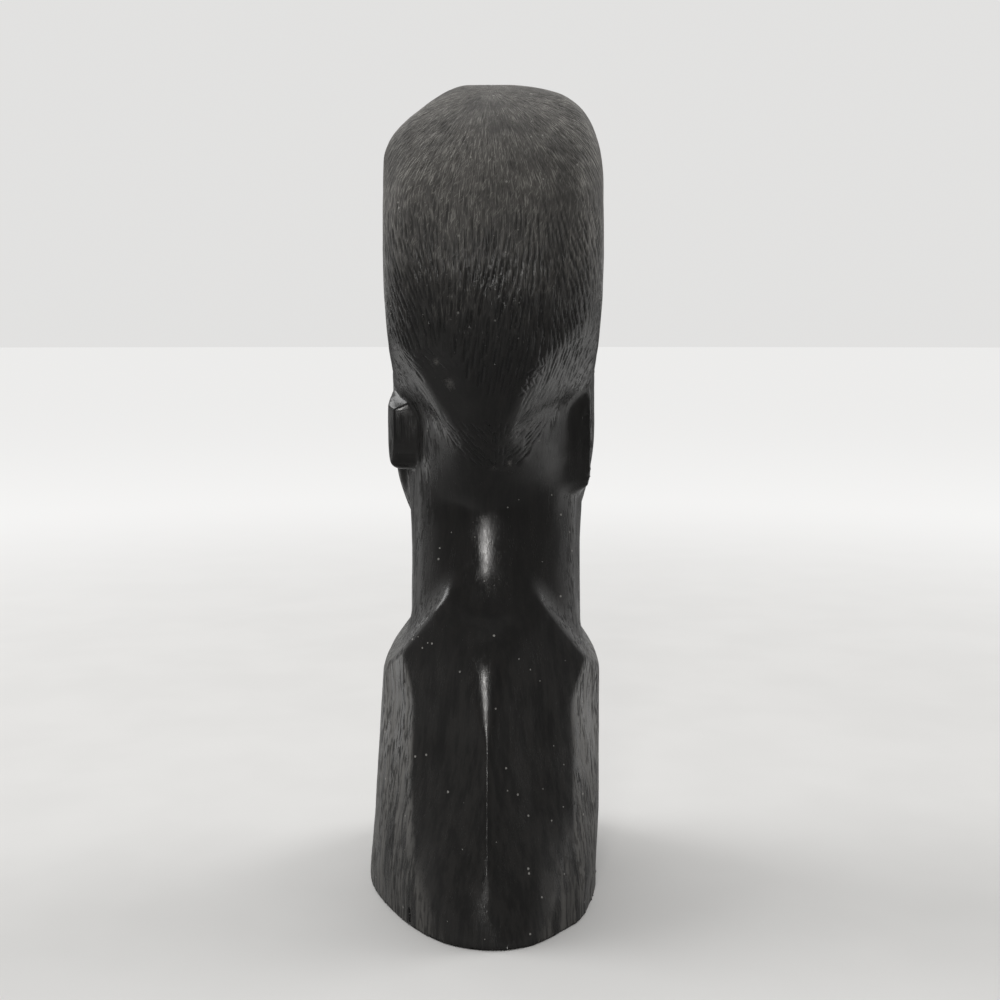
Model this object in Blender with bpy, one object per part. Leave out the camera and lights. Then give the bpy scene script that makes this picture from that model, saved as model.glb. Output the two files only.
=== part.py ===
"""Carved ebony head: a long-necked bust cut from one block, standing on its flat underside.

Sizes are in millimetres and become Blender's metres when the mesh is made. +Z is up, the face looks
along -Y, and the origin is the middle of the flat underside. The whole work is one piece of wood.

The form is written the way a carver works. Foot, neck, skull, face and ears are solids trimmed by
planes and joined with rounded edges. Each solid is a function of place that is negative inside the
wood, and the mesh is the skin on which the function of the whole is zero.
"""

import math

import bmesh
import bpy
import numpy as np

MM = 0.001

# Driving dimensions
HEIGHT = 280.0
FOOT_HALF_WIDTH = 42.2
FOOT_HALF_DEPTH = 68.5
HEAD_HALF_WIDTH = 37.9
HEAD_HALF_DEPTH = 49.5
NECK_HALF_WIDTH = 30.0
NECK_HALF_DEPTH = 33.0

# Places, from the foot up; the carving leans a little, so each part has its own middle
WIDEST_Y = -11.5
SPINE_X = -1.85
SHOULDER_X, SHOULDER_Z = -3.15, 79.0
SHOULDER_HALF_WIDTH = 38.8
NECK_X, NECK_Y, NECK_LEAN = -4.55, 4.0, 0.245   # NECK_Y is at z = 100
NECK_SWELL_Z, NECK_SWELL = 128.0, 0.012        # from where and how much the neck's back bends out
NECK_TOP_Z = 165.0
SKULL_X, SKULL_Y, SKULL_Z = -3.75, 1.0, 214.0   # where the back of the head stands out most
SKULL_DROP = 73.0                               # from there to where its underside would close
NAPE_X, NAPE_Z = -4.05, 151.5
HAIR_THICKNESS, HAIR_THICKNESS_IN_FRONT = 0.1, 0.7
SIDE_HAIRLINE_Z, SIDEBURN_Z = 190.0, 177.0

# Face, in the thirds of a drawing manual: chin, foot of the nose, brow and hairline equally spaced
CHIN_Z = 114.5
FACE_THIRD = 31.2
NOSE_FOOT_Z = CHIN_Z + FACE_THIRD
BROW_Z = CHIN_Z + 2 * FACE_THIRD
FOREHEAD_TOP_Z = CHIN_Z + 3 * FACE_THIRD
EYE_X = HEAD_HALF_WIDTH * 2 / 5                 # the face is five eyes wide
EYE_Z = BROW_Z - 10.0
MOUTH_Z = NOSE_FOOT_Z - FACE_THIRD / 3
CHEEK_Z = NOSE_FOOT_Z + 20.0
FACE_FRONT_Y = -50.0
FACE_BACK_Y = -5.0

# Ears: side, lower and upper end, back edge, outer face, squareness, and the fillet at their root
EARS = ((1, 149.0, 180.0, 13.5, 37.2, 4.0, 1.2), (-1, 142.5, 177.5, 16.5, 33.6, 8.0, 5.0))
EAR_HALF_DEPTH, EAR_ROOT = 11.5, 14.0
EAR_BEVELS = (      # on the ear at +X, behind and above
    ((30.6, 13.5, 165.0), (0.80, 0.60, 0)),
    ((27.0, 13.5, 172.0), (0.30, 0.60, 0.74)),
)

# Flat cuts: a point on each, the direction it faces, and the radius of the edge it leaves
CROWN_CUTS = (      # measured from the skull's middle across
    ((24.0, 0, 269.6), (0.68, 0, 0.73), 4.0),
    ((-21.5, 0, 277.6), (-0.40, 0, 0.92), 5.0),
    ((-33.4, 0, 264.5), (-0.87, 0, 0.49), 5.0),
)
NAPE_CUTS = {       # on each side of NAPE_X
    1: ((13.4, 43.0, 181.6), (0.37, 0.82, -0.435)),
    -1: ((14.8, 41.4, 180.0), (0.50, 0.74, -0.44)),
}
NAPE_EDGE = 1.0
EAR_CUTS = {        # behind each ear
    1: ((23.5, 13.5, 165.0), (0.77, 0.34, -0.54)),
    -1: ((20.5, 16.5, 165.0), (0.68, 0.50, -0.54)),
}
EAR_CUT_EDGE = 2.0
NECK_FILLET = 14.0
NECK_CUTS = (       # the foot's slopes up to the neck, behind and in front
    ((0, 43.8, 91.5), (0, 0.78, 0.62), 3.0),
    ((0, -48.0, 86.0), (0, -0.66, 0.75), 10.0),
)
SHOULDER_CUT = ((SHOULDER_HALF_WIDTH, 0, SHOULDER_Z), (0.79, 0, 0.61), 1.5)     # on both sides

# Back of the foot: place of the spine at z = 92, its lean, and the turn of each plane beside it
BACK_Y, BACK_LEAN, BACK_SPREAD = 44.0, 0.262, math.radians(31)
BACK_HALF_WIDTH, BACK_ROUNDING = 28.0, 18.0     # how far the planes bow out above the rim

# Flanks of the back: where each meets the back, how far out that runs at the shoulder, how far back it may
# lie, and the direction the flank faces
FLANK_EDGE = 0.6
FLANKS = ((24.0, 3.4, 52.0, (0.86, 0.51)), (-31.3, -4.6, 47.0, (-0.90, 0.43)))

# Drying crack in the rim of the foot
CRACK_AT = (24.25, 48.2)
CRACK_HEIGHT, CRACK_WIDTH, CRACK_DEPTH = 6.5, 0.7, 3.0

# Mesh
CELL = 1.4
TRIANGLES = 8600
BOX_LOW, BOX_HIGH = (-48.0, -72.0, -4.0), (48.0, 72.0, 286.0)


def round_and(u, v, radius):
    """The wood inside both u and v, with the edge between them rounded."""
    corner = np.hypot(np.maximum(u + radius, 0), np.maximum(v + radius, 0))
    return np.minimum(np.maximum(u, v), -radius) + corner


def round_or(u, v, radius):
    """The wood inside u or v, with the hollow between them filleted."""
    return -round_and(-u, -v, radius)


def step(value, low, high):
    """Goes smoothly from 0 at low to 1 at high."""
    t = np.clip((value - low) / (high - low), 0, 1)
    return t * t * (3 - 2 * t)


def hill(u, v):
    """A smooth hill of height 1 over the circle of radius 1."""
    return np.exp(-2.2 * (u * u + v * v))


def oval(u, v, half_u, half_v, squareness):
    """Distance to a rounded outline, measured along lines through its middle."""
    q = (np.abs(u / half_u) ** squareness + np.abs(v / half_v) ** squareness) ** (1 / squareness)
    return np.hypot(u, v) * (1 - 1 / np.maximum(q, 1e-6))


def plane(x, y, z, point, normal):
    """Distance in front of a plane through a point."""
    distance = sum((c - p) * n for c, p, n in zip((x, y, z), point, normal))
    return distance / math.hypot(*normal)


def ridge(across, out, spread, edge):
    """Two planes that meet in an upright ridge, whose rounded crest lies at across = 0, out = 0."""
    c, s = math.cos(spread), math.sin(spread)
    front = out * c - (1 - math.sqrt(0.5)) * edge
    return round_and(front + across * s, front - across * s, edge)


def foot(x, y, z):
    """The chest and back, up to the slopes round the neck."""
    down = np.clip(1 - z / SHOULDER_Z, 0, 1)
    left = FOOT_HALF_WIDTH - 5.5 * (1 - down) - 0.4 * step(z, 0, 24)
    right = -FOOT_HALF_WIDTH + 1.1 * step(-z, -30, -4)
    behind = FOOT_HALF_DEPTH - WIDEST_Y - 0.05 * z
    before = FOOT_HALF_DEPTH + WIDEST_Y - 0.05 * z
    v = y - WIDEST_Y
    u = x - (left + right) / 2 + 0.0012 * np.maximum(v, 0) ** 2 * down
    block = oval(u, v, (left - right) / 2, np.where(v > 0, behind, before), 2.2)
    back = BACK_Y + BACK_LEAN * (92 - z)
    from_spine = np.clip(np.abs(x - SPINE_X) / BACK_HALF_WIDTH, 0, 1)
    rounding = BACK_ROUNDING * step(-z, -50, 0) * from_spine * (1 - from_spine)
    edge = 0.3 + 6.0 * step(z, 58, 84)
    block = round_and(block, ridge(x - SPINE_X, y - back - rounding, BACK_SPREAD, edge), 2.0)
    chest = -y - 47.0 - 0.28 * (92 - z)
    block = round_and(block, ridge(x - SPINE_X, chest + 1.6, math.radians(24), 6.0), 5.0)
    for side, outward, limit, normal in FLANKS:
        from_side = x - side - outward * step(z, 68, 92)
        from_bend = y - np.minimum(back - math.tan(BACK_SPREAD) * abs(side - SPINE_X), limit)
        along = from_side * normal[1] - from_bend * normal[0]
        bulge = 0.002 * along ** 2 / (1 + (along / 25) ** 2)
        edge = FLANK_EDGE + 5.0 * step(-z, -16, 0)
        block = round_and(block, from_side * normal[0] + from_bend * normal[1] + bulge, edge)
    for point, normal, edge in NECK_CUTS:
        block = round_and(block, plane(x, y, z, point, normal), edge)
    point, normal, edge = SHOULDER_CUT
    return round_and(block, plane(np.abs(x - SHOULDER_X), y, z, point, normal), edge)


def neck(x, y, z):
    """A leaning column with a ridge down its back."""
    middle_y = NECK_Y - NECK_LEAN * (z - 100)
    half_width = NECK_HALF_WIDTH + step(z, 118, 145)
    above = np.maximum(z - NECK_SWELL_Z, 0)
    rise = np.minimum(above, 17)
    half_depth = NECK_HALF_DEPTH + NECK_SWELL * rise * (2 * above - rise) * (y > middle_y)
    column = oval(x - NECK_X, y - middle_y, half_width, half_depth, 2.2)
    back = y - middle_y - half_depth + 1.2
    column = round_and(column, ridge(x - SPINE_X, back, math.radians(15), 6.0), 12.0)
    return round_and(column, z - NECK_TOP_Z, 12.0)


def hair_edge(x, y):
    """Height of the hairline round the head: a point at the nape, sideburns, level over the face."""
    from_nape = np.abs(x - NAPE_X)
    nape = NAPE_Z + 2.0 * np.logaddexp(0, (from_nape - 9) / 1.2)
    front = SIDE_HAIRLINE_Z + (FOREHEAD_TOP_Z - SIDE_HAIRLINE_Z) * step(-y, 18, 40)
    front = front + (SIDEBURN_Z - SIDE_HAIRLINE_Z) * step(-y, 10, 13) * step(y, -22, -18)
    return np.where(y > 0, np.minimum(nape, SIDE_HAIRLINE_Z), front)


def nape_cut(x, y, z, way):
    """The plane cut from a back corner of the head down to the nape, on one side."""
    return plane((x - NAPE_X) * way, y, z, *NAPE_CUTS[way])


def skull(x, y, z):
    """The tall back and crown of the head, trimmed by the nape and crown cuts."""
    u, v, w = x - SKULL_X, y - SKULL_Y, z - SKULL_Z
    narrowing = 0.0019 * np.maximum(222 - z, 0) ** 2 + 0.0006 * np.maximum(z - 222, 0) ** 2
    sides = np.abs(u) - (HEAD_HALF_WIDTH - narrowing) + 0.0022 * np.maximum(v, 0) ** 2
    outline = round_and(sides, z - HEIGHT - 5, 22.0)
    height = np.where(w > 0, HEIGHT + 0.8 - SKULL_Z, SKULL_DROP)
    power = np.where(w > 0, 2.4, 2.0)
    bowed = v + 0.0065 * u * u * v / np.hypot(v, 10)
    profile = oval(bowed, w, HEAD_HALF_DEPTH, height, power)
    solid = round_and(outline, profile, 28 - 20 * step(y, -35, 12))
    edge = NAPE_EDGE + 9.0 * step(z, 184, 206)
    for way in (1, -1):
        solid = round_and(solid, nape_cut(x, y, z, way), edge)
        solid = round_and(solid, plane((x - NAPE_X) * way, y, z, *EAR_CUTS[way]), EAR_CUT_EDGE)
    for point, normal, edge in CROWN_CUTS:
        solid = round_and(solid, plane(u, y, z, point, normal), edge)
    return solid


def face_relief(u, z):
    """How far the features stand out from the smooth front of the face."""
    side = np.abs(u)
    up_nose = np.clip((z - NOSE_FOOT_Z) / (BROW_Z - NOSE_FOOT_Z), 0, 1)
    nose = np.exp(-((side / (7.0 - 3.4 * up_nose)) ** 2.6)) * (1.5 + 11.5 * (1 - up_nose) ** 1.15)
    nose *= step(z, NOSE_FOOT_Z - 1.4, NOSE_FOOT_Z + 3.4) * step(z, BROW_Z + 5, BROW_Z - 6)
    lips = np.clip(1 - (side / 14.0) ** 2, 0, 1)
    hills = (   # height, distance from the midline, height above the chin, half width, half height
        (5.2, 6.8, FACE_THIRD + 3.6, 4.4, 4.4),             # wings of the nose
        (1.8, 14.5, 2 * FACE_THIRD + 0.5, 14.0, 5.0),       # brows
        (-4.4, EYE_X - 1.5, EYE_Z - CHIN_Z, 11.5, 9.0),     # eye sockets
        (2.0, 23.0, EYE_Z - CHIN_Z - 15.0, 13.0, 13.0),     # cheekbones
        (2.6, 0.0, MOUTH_Z - CHIN_Z, 17.0, 13.0),           # the mouth's mound
        (-0.7, 0.0, MOUTH_Z - CHIN_Z + 7.5, 1.6, 5.0),      # the groove above the lips
        (-1.8, 0.0, MOUTH_Z - CHIN_Z - 9.5, 12.0, 3.8),     # under the lower lip
        (3.0, 0.0, 6.0, 12.0, 8.0),                         # chin
    )
    relief = nose + eyes(side, z)
    for height, apart, above_chin, half_width, half_height in hills:
        relief = relief + height * hill((side - apart) / half_width, (z - CHIN_Z - above_chin) / half_height)
    upper = 3.0 * hill(0, (z - MOUTH_Z - 2.7 * lips - 0.2) / 3.2)
    lower = 3.4 * hill(0, (z - MOUTH_Z + 3.5 * lips + 0.3) / 3.8)
    parting = 2.2 * hill(0, (z - MOUTH_Z - 0.5 * lips + 0.3) / 1.0)
    return relief + np.sqrt(lips) * (upper + lower - parting)


def eyes(side, z):
    """Closed eyes: a smooth ball under an upper lid that overhangs along a low curve."""
    across = (side - EYE_X) / 8.6
    ball = np.exp(-(np.hypot(across, (z - EYE_Z) / 5.4) ** 3))
    lid = EYE_Z - 2.6 + 2.2 * across ** 2
    lash = hill(0, (z - lid) / 0.9) * step(1 - across ** 2, 0, 0.5)
    crease = hill(0, (z - EYE_Z - 5.2 + 3.0 * across ** 2) / 1.2) * step(1.1 - across ** 2, 0, 0.7)
    return ball * (3.2 + 1.1 * step(z - lid, -0.7, 0.7)) - 0.55 * lash - 0.5 * crease


def face(x, y, z):
    """The face from hairline to chin, back to the ears."""
    u = x - SKULL_X
    drop = np.clip((CHEEK_Z - z) / (CHEEK_Z - CHIN_Z + 2.5), 0, 0.995)
    half_width = (HEAD_HALF_WIDTH - 0.6) * (1 - drop ** 2.2) ** (1 / 2.3)
    half_width = half_width - 0.0012 * np.maximum(z - CHEEK_Z, 0) ** 2 - 0.005 * np.maximum(y + 22, 0) ** 2
    front_y = FACE_FRONT_Y + 0.0008 * (z - 165) ** 2 - face_relief(u, z)
    v = np.minimum(y - FACE_BACK_Y, 0)
    solid = oval(u, v, np.maximum(half_width, 0.5), FACE_BACK_Y - front_y, 2.3)
    solid = round_and(solid, plane(u, y, z, (0, -48.0, CHIN_Z), (0, -0.36, -0.93)), 4.0)
    solid = round_and(solid, z - FOREHEAD_TOP_Z, 1.5)
    return round_and(solid, y - FACE_BACK_Y - 0.4 * (z - 150), 2.0)


def ear(x, y, z, way, low, high, back, stand_out, squareness):
    """A thick upright slab with a flat rear edge and a scooped outer face."""
    out = way * (x - SKULL_X) + 0.14 * (back - y)
    along, up = y - back + EAR_HALF_DEPTH, z - (low + high) / 2
    half_height = (high - low) / 2
    side_view = oval(along, up, EAR_HALF_DEPTH, half_height, np.where(along > 0, 4.0, 2.4))
    rear_view = oval(np.maximum(out - stand_out + 8, 0), up, 8.0, half_height, squareness)
    scoop = np.sqrt(((out - stand_out - 1) / 4.5) ** 2 + (along / 6.2) ** 2 + ((up - 1.5) / 9.5) ** 2)
    slab = np.maximum(round_and(side_view, rear_view, 0.6), EAR_ROOT - out)
    if way > 0:
        for point, normal in EAR_BEVELS:
            slab = round_and(slab, plane(x, y, z, point, normal), 0.5)
    return round_and(slab, (1 - scoop) * 4.5, 1.0)


def sculpture(x, y, z):
    """The whole work as one piece of wood."""
    thickness = HAIR_THICKNESS + (HAIR_THICKNESS_IN_FRONT - HAIR_THICKNESS) * step(-y, -15, 10)
    bare = thickness * step(hair_edge(x, y) - z, -1.2, 1.2)
    head = round_or(skull(x, y, z) + bare, face(x, y, z), 3.0)
    nape = 3.0 + (NECK_FILLET - 3.0) * step(y, 4, 20)
    whole = round_or(round_or(foot(x, y, z), neck(x, y, z), 5.0), head, nape)
    for *shape, fillet in EARS:
        whole = round_or(whole, ear(x, y, z, *shape), fillet)
    return whole


def skin(solid):
    """Points and four-cornered faces on which a solid is zero, with one point to each cell it crosses."""
    axes = [np.arange(low, high, CELL) for low, high in zip(BOX_LOW, BOX_HIGH)]
    inside = solid(*np.meshgrid(*axes, indexing="ij")) < 0
    last = np.array(inside.shape) - 1
    corners = [
        inside[i:last[0] + i, j:last[1] + j, k:last[2] + k] for i in (0, 1) for j in (0, 1) for k in (0, 1)
    ]
    crossed = np.any(corners, axis=0) & ~np.all(corners, axis=0)
    number = np.full(crossed.shape, -1)
    number[crossed] = np.arange(crossed.sum())
    faces = []
    for axis in range(3):
        turned = (axis, (axis + 1) % 3, (axis + 2) % 3)
        wood, cell = inside.transpose(turned), number.transpose(turned)
        near, far = wood[:-1, 1:-1, 1:-1], wood[1:, 1:-1, 1:-1]
        around = np.stack([cell[:, :-1, :-1], cell[:, 1:, :-1], cell[:, 1:, 1:], cell[:, :-1, 1:]], -1)
        faces += [around[near & ~far], around[far & ~near][:, ::-1]]
    faces = np.concatenate(faces)
    points = np.array(BOX_LOW) + (np.argwhere(crossed) + 0.5) * CELL
    for _ in range(4):
        points = even_out(points, faces)
        points[np.abs(points[:, 2]) < CELL / 2, 2] = 0      # a row of points along the foot's rim
        points = settle(solid, points)
    return points, faces


def even_out(points, faces):
    """Moves each point to the middle of the faces round it."""
    total, count = np.zeros_like(points), np.zeros(len(points))
    middle = points[faces].mean(axis=1)
    for corner in faces.T:
        np.add.at(total, corner, middle)
        np.add.at(count, corner, 1)
    return total / count[:, None]


def settle(solid, points):
    """Moves points straight onto the surface of a solid."""
    reach = 0.05
    for _ in range(4):
        value = solid(*points.T)
        slope = np.stack([solid(*(points + reach * axis).T) - value for axis in np.eye(3)], 1) / reach
        move = -(value / np.maximum((slope**2).sum(axis=1), 0.05))[:, None] * slope
        length = np.linalg.norm(move, axis=1, keepdims=True)
        points = points + move * np.minimum(1, CELL / np.maximum(length, 1e-9))
    return points


def carve_block():
    """The sculpture's skin as a closed mesh, cut off flat at z = 0."""
    points, faces = skin(sculpture)
    data = bpy.data.meshes.new("skin")
    data.from_pydata(points * MM, [], faces.tolist())
    mesh = bmesh.new()
    mesh.from_mesh(data)
    bpy.data.meshes.remove(data)
    cut = bmesh.ops.bisect_plane(
        mesh,
        geom=mesh.verts[:] + mesh.edges[:] + mesh.faces[:],
        dist=0.0001,
        plane_co=(0, 0, 0),
        plane_no=(0, 0, 1),
        use_snap_center=True,
        clear_inner=True,
    )
    for side in mesh.faces:
        side.smooth = True
    rim = [item for item in cut["geom_cut"] if isinstance(item, bmesh.types.BMEdge)]
    underside = bmesh.ops.holes_fill(mesh, edges=rim)["faces"]
    for flat in underside:
        flat.smooth = False
    return mesh


def carve_crack():
    """A thin upright wedge, its edge pointing into the foot."""
    mesh = bmesh.new()
    x, y = CRACK_AT
    half = CRACK_WIDTH / 2
    corners = ((-half, 3.0), (half, 3.0), (0.0, -CRACK_DEPTH))
    low = [mesh.verts.new(((x + u) * MM, (y + v) * MM, -MM)) for u, v in corners]
    high = [mesh.verts.new(((x + u) * MM, (y + v) * MM, CRACK_HEIGHT * MM)) for u, v in corners]
    mesh.faces.new(low)
    mesh.faces.new(high)
    for i in range(3):
        j = (i + 1) % 3
        mesh.faces.new((low[i], low[j], high[j], high[i]))
    bmesh.ops.recalc_face_normals(mesh, faces=mesh.faces)
    return mesh


def new_object(name, mesh):
    """Puts a bmesh into the scene as an object."""
    data = bpy.data.meshes.new(name)
    mesh.to_mesh(data)
    mesh.free()
    obj = bpy.data.objects.new(name, data)
    bpy.context.scene.collection.objects.link(obj)
    return obj


def ebony():
    """Near-black polished wood."""
    material = bpy.data.materials.new("ebony")
    material.use_nodes = True
    shader = material.node_tree.nodes["Principled BSDF"]
    shader.inputs["Base Color"].default_value = (0.018, 0.016, 0.015, 1)
    shader.inputs["Roughness"].default_value = 0.35
    shader.inputs["Metallic"].default_value = 0.0
    return material


def main():
    for old in list(bpy.data.objects):
        bpy.data.objects.remove(old, do_unlink=True)
    head = new_object("carved_head", carve_block())
    head.data.materials.append(ebony())
    crack = new_object("crack", carve_crack())
    crack.hide_render = True
    crack.display_type = "WIRE"
    fewer = head.modifiers.new("fewer_triangles", "DECIMATE")
    fewer.ratio = TRIANGLES / (2 * len(head.data.polygons))
    cut = head.modifiers.new("crack", "BOOLEAN")
    cut.operation = "DIFFERENCE"
    cut.solver = "EXACT"
    cut.object = crack


main()
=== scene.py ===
"""Carved ebony head seen from behind: the finished surface, its wood, the light and the camera.

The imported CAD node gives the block. Its skin is divided into cells, finer in the hair and along edges,
settled onto the carved form, and engraved with the gouge strokes of the hair. The form is written as
solids in millimetres: each is a function of place that is negative inside the wood. +Z is up and the
face looks along -Y.
"""

import math

import bmesh
import bpy
import numpy as np
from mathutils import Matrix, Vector, kdtree

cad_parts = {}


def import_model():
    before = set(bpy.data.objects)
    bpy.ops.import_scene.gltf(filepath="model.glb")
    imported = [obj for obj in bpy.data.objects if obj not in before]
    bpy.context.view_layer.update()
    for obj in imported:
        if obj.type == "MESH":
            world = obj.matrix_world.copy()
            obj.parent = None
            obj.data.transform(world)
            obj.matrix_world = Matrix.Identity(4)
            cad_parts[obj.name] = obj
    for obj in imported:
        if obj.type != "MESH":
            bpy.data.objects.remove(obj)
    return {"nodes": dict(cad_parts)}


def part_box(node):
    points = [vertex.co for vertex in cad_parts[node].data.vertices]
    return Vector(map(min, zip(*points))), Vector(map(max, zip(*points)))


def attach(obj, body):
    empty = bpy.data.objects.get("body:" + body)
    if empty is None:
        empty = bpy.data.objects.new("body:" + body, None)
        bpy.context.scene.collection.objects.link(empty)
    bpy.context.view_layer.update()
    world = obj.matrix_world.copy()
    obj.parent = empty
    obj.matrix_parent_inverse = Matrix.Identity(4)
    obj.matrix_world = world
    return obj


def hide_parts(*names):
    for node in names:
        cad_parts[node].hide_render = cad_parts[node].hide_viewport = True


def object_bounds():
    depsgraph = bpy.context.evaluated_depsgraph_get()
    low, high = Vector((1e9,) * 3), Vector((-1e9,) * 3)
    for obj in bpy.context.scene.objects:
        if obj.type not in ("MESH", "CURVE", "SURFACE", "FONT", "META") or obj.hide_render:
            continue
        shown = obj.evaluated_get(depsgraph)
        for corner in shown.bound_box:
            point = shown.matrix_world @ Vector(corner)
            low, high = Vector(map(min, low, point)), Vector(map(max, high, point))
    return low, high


MM = 0.001
NODE = "carved_head"

# Fineness: cell size in millimetres, cuts across each fine cell, triangles kept, and places tried for strokes
CELL = 1.0
CUTS = 2
TRIANGLES = 196_000
TRIALS = 45_000

# Driving dimensions, as in the CAD
HEIGHT = 280.0
FOOT_HALF_WIDTH = 42.2
FOOT_HALF_DEPTH = 68.5
HEAD_HALF_WIDTH = 37.9
HEAD_HALF_DEPTH = 49.5
NECK_HALF_WIDTH = 30.0
NECK_HALF_DEPTH = 33.0

# Places, from the foot up; the carving leans a little, so each part has its own middle
WIDEST_Y = -11.5
SPINE_X = -1.85
SHOULDER_X, SHOULDER_Z = -3.15, 79.0
SHOULDER_HALF_WIDTH = 38.8
NECK_X, NECK_Y, NECK_LEAN = -4.55, 4.0, 0.245   # NECK_Y is at z = 100
NECK_SWELL_Z, NECK_SWELL = 128.0, 0.012         # from where and how much the neck's back bends out
NECK_TOP_Z = 165.0
SKULL_X, SKULL_Y, SKULL_Z = -3.75, 1.0, 214.0   # where the back of the head stands out most
SKULL_DROP = 73.0                               # from there to where its underside would close
NAPE_X, NAPE_Z = -4.05, 151.5
HAIR_THICKNESS, HAIR_THICKNESS_IN_FRONT = 0.1, 0.7
SIDE_HAIRLINE_Z, SIDEBURN_Z = 190.0, 177.0
WHORL = np.array((-2.5, 25.0, 277.0))           # of the hair, at the back of the crown

# Face, in the thirds of a drawing manual: chin, foot of the nose, brow and hairline equally spaced
CHIN_Z = 114.5
FACE_THIRD = 31.2
NOSE_FOOT_Z = CHIN_Z + FACE_THIRD
BROW_Z = CHIN_Z + 2 * FACE_THIRD
FOREHEAD_TOP_Z = CHIN_Z + 3 * FACE_THIRD
EYE_X = HEAD_HALF_WIDTH * 2 / 5                 # the face is five eyes wide
EYE_Z = BROW_Z - 10.0
MOUTH_Z = NOSE_FOOT_Z - FACE_THIRD / 3
CHEEK_Z = NOSE_FOOT_Z + 20.0
FACE_FRONT_Y = -50.0
FACE_BACK_Y = -5.0

# Ears: side, lower and upper end, back edge, outer face, squareness, and the fillet at their root
EARS = ((1, 149.0, 180.0, 13.5, 37.2, 4.0, 1.2), (-1, 142.5, 177.5, 16.5, 33.6, 8.0, 5.0))
EAR_HALF_DEPTH, EAR_ROOT = 11.5, 14.0
EAR_BEVELS = (      # on the ear at +X, behind and above
    ((30.6, 13.5, 165.0), (0.80, 0.60, 0)),
    ((27.0, 13.5, 172.0), (0.30, 0.60, 0.74)),
)

# Flat cuts: a point on each, the direction it faces, and the radius of the edge it leaves
CROWN_CUTS = (      # measured from the skull's middle across
    ((24.0, 0, 269.6), (0.68, 0, 0.73), 4.0),
    ((-21.5, 0, 277.6), (-0.40, 0, 0.92), 5.0),
    ((-33.4, 0, 264.5), (-0.87, 0, 0.49), 5.0),
)
NAPE_CUTS = {       # on each side of NAPE_X
    1: ((13.4, 43.0, 181.6), (0.37, 0.82, -0.435)),
    -1: ((14.8, 41.4, 180.0), (0.50, 0.74, -0.44)),
}
NAPE_EDGE = 1.0
EAR_CUTS = {        # behind each ear
    1: ((23.5, 13.5, 165.0), (0.77, 0.34, -0.54)),
    -1: ((20.5, 16.5, 165.0), (0.68, 0.50, -0.54)),
}
EAR_CUT_EDGE = 2.0
NECK_FILLET = 14.0
NECK_CUTS = (       # the foot's slopes up to the neck, behind and in front
    ((0, 43.8, 91.5), (0, 0.78, 0.62), 3.0),
    ((0, -48.0, 86.0), (0, -0.66, 0.75), 10.0),
)
SHOULDER_CUT = ((SHOULDER_HALF_WIDTH, 0, SHOULDER_Z), (0.79, 0, 0.61), 1.5)     # on both sides

# Back of the foot: place of the spine at z = 92, its lean, and the turn of each plane beside it
BACK_Y, BACK_LEAN, BACK_SPREAD = 44.0, 0.262, math.radians(31)
BACK_HALF_WIDTH, BACK_ROUNDING = 28.0, 18.0     # how far the planes bow out above the rim

# Flanks of the back: where each meets the back, how far out that runs at the shoulder, how far back it may
# lie, and the direction the flank faces
FLANK_EDGE = 0.6
FLANKS = ((24.0, 3.4, 52.0, (0.86, 0.51)), (-31.3, -4.6, 47.0, (-0.90, 0.43)))

# Drying crack in the rim of the foot
CRACK_AT = (24.25, 48.2)
CRACK_HEIGHT, CRACK_WIDTH, CRACK_DEPTH = 6.5, 0.7, 3.0

# Worn spots on the border of the hair (place across, height and size), and a cluster of dust on a shoulder
WORN_SPOTS = ((14.6, 187.4, 0.9), (10.2, 180.3, 1.2), (-9.3, 153.5, 0.8), (-4.0, 151.9, 0.5))
DUST_AT, DUST_RADIUS = (20.9, 33.1, 93.3), 5.5

# Colours of the wood, of what lies on it, and of light and shade painted on it
WOOD_DARK, WOOD_LIGHT = (0.0170, 0.0165, 0.0160, 1), (0.0225, 0.0212, 0.0202, 1)
WOOD_CLOUDED = (0.0280, 0.0266, 0.0254, 1)
# Painted sheen: the light colour laid on the streaks of the flanks
PAINTED_FLANK_SHEEN = (0.125, 0.120, 0.112, 1)
# The first is the dry greyish hair, also painted lighter where the top light falls; the second its light
# scratches
DRY_HAIR_AND_TOP_LIGHT, SCRATCH = (0.128, 0.121, 0.112, 1), (0.32, 0.31, 0.285, 1)
# The first is painted shade deep in the strokes and the crack; the second the pores' own dark colour
PAINTED_GROOVE_SHADE, PORE_SHADE = (0.005, 0.005, 0.005, 1), (0.005, 0.0045, 0.004, 1)
DUST, CHIP = (0.40, 0.39, 0.37, 1), (0.26, 0.25, 0.235, 1)

# Floor, and the backdrop it fades into
FLOOR_RADIUS = 30.0     # metres
FLOOR_PALE, FLOOR_MOTTLED = (0.69, 0.685, 0.675, 1), (0.71, 0.705, 0.695, 1)
# Floor colour under the backdrop's glow far out, and the painted shade and painted dark seen in reflections
# near the carving
FLOOR_DARK = (0.17, 0.17, 0.17, 1)
BACKDROP, BACKDROP_STRENGTH = (1.0, 0.995, 0.985, 1), 0.76

# Camera: place across and height in metres, metres behind the foot, degrees it looks down, and lens
CAMERA_X, CAMERA_Z = -0.0060, 0.195
CAMERA_BEHIND = 0.418
CAMERA_PITCH, CAMERA_LENS = 6.75, 49.25


# --- The form -------------------------------------------------------------------------------------


def round_and(u, v, radius):
    """The wood inside both u and v, with the edge between them rounded."""
    corner = np.hypot(np.maximum(u + radius, 0), np.maximum(v + radius, 0))
    return np.minimum(np.maximum(u, v), -radius) + corner


def round_or(u, v, radius):
    """The wood inside u or v, with the hollow between them filleted."""
    return -round_and(-u, -v, radius)


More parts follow.
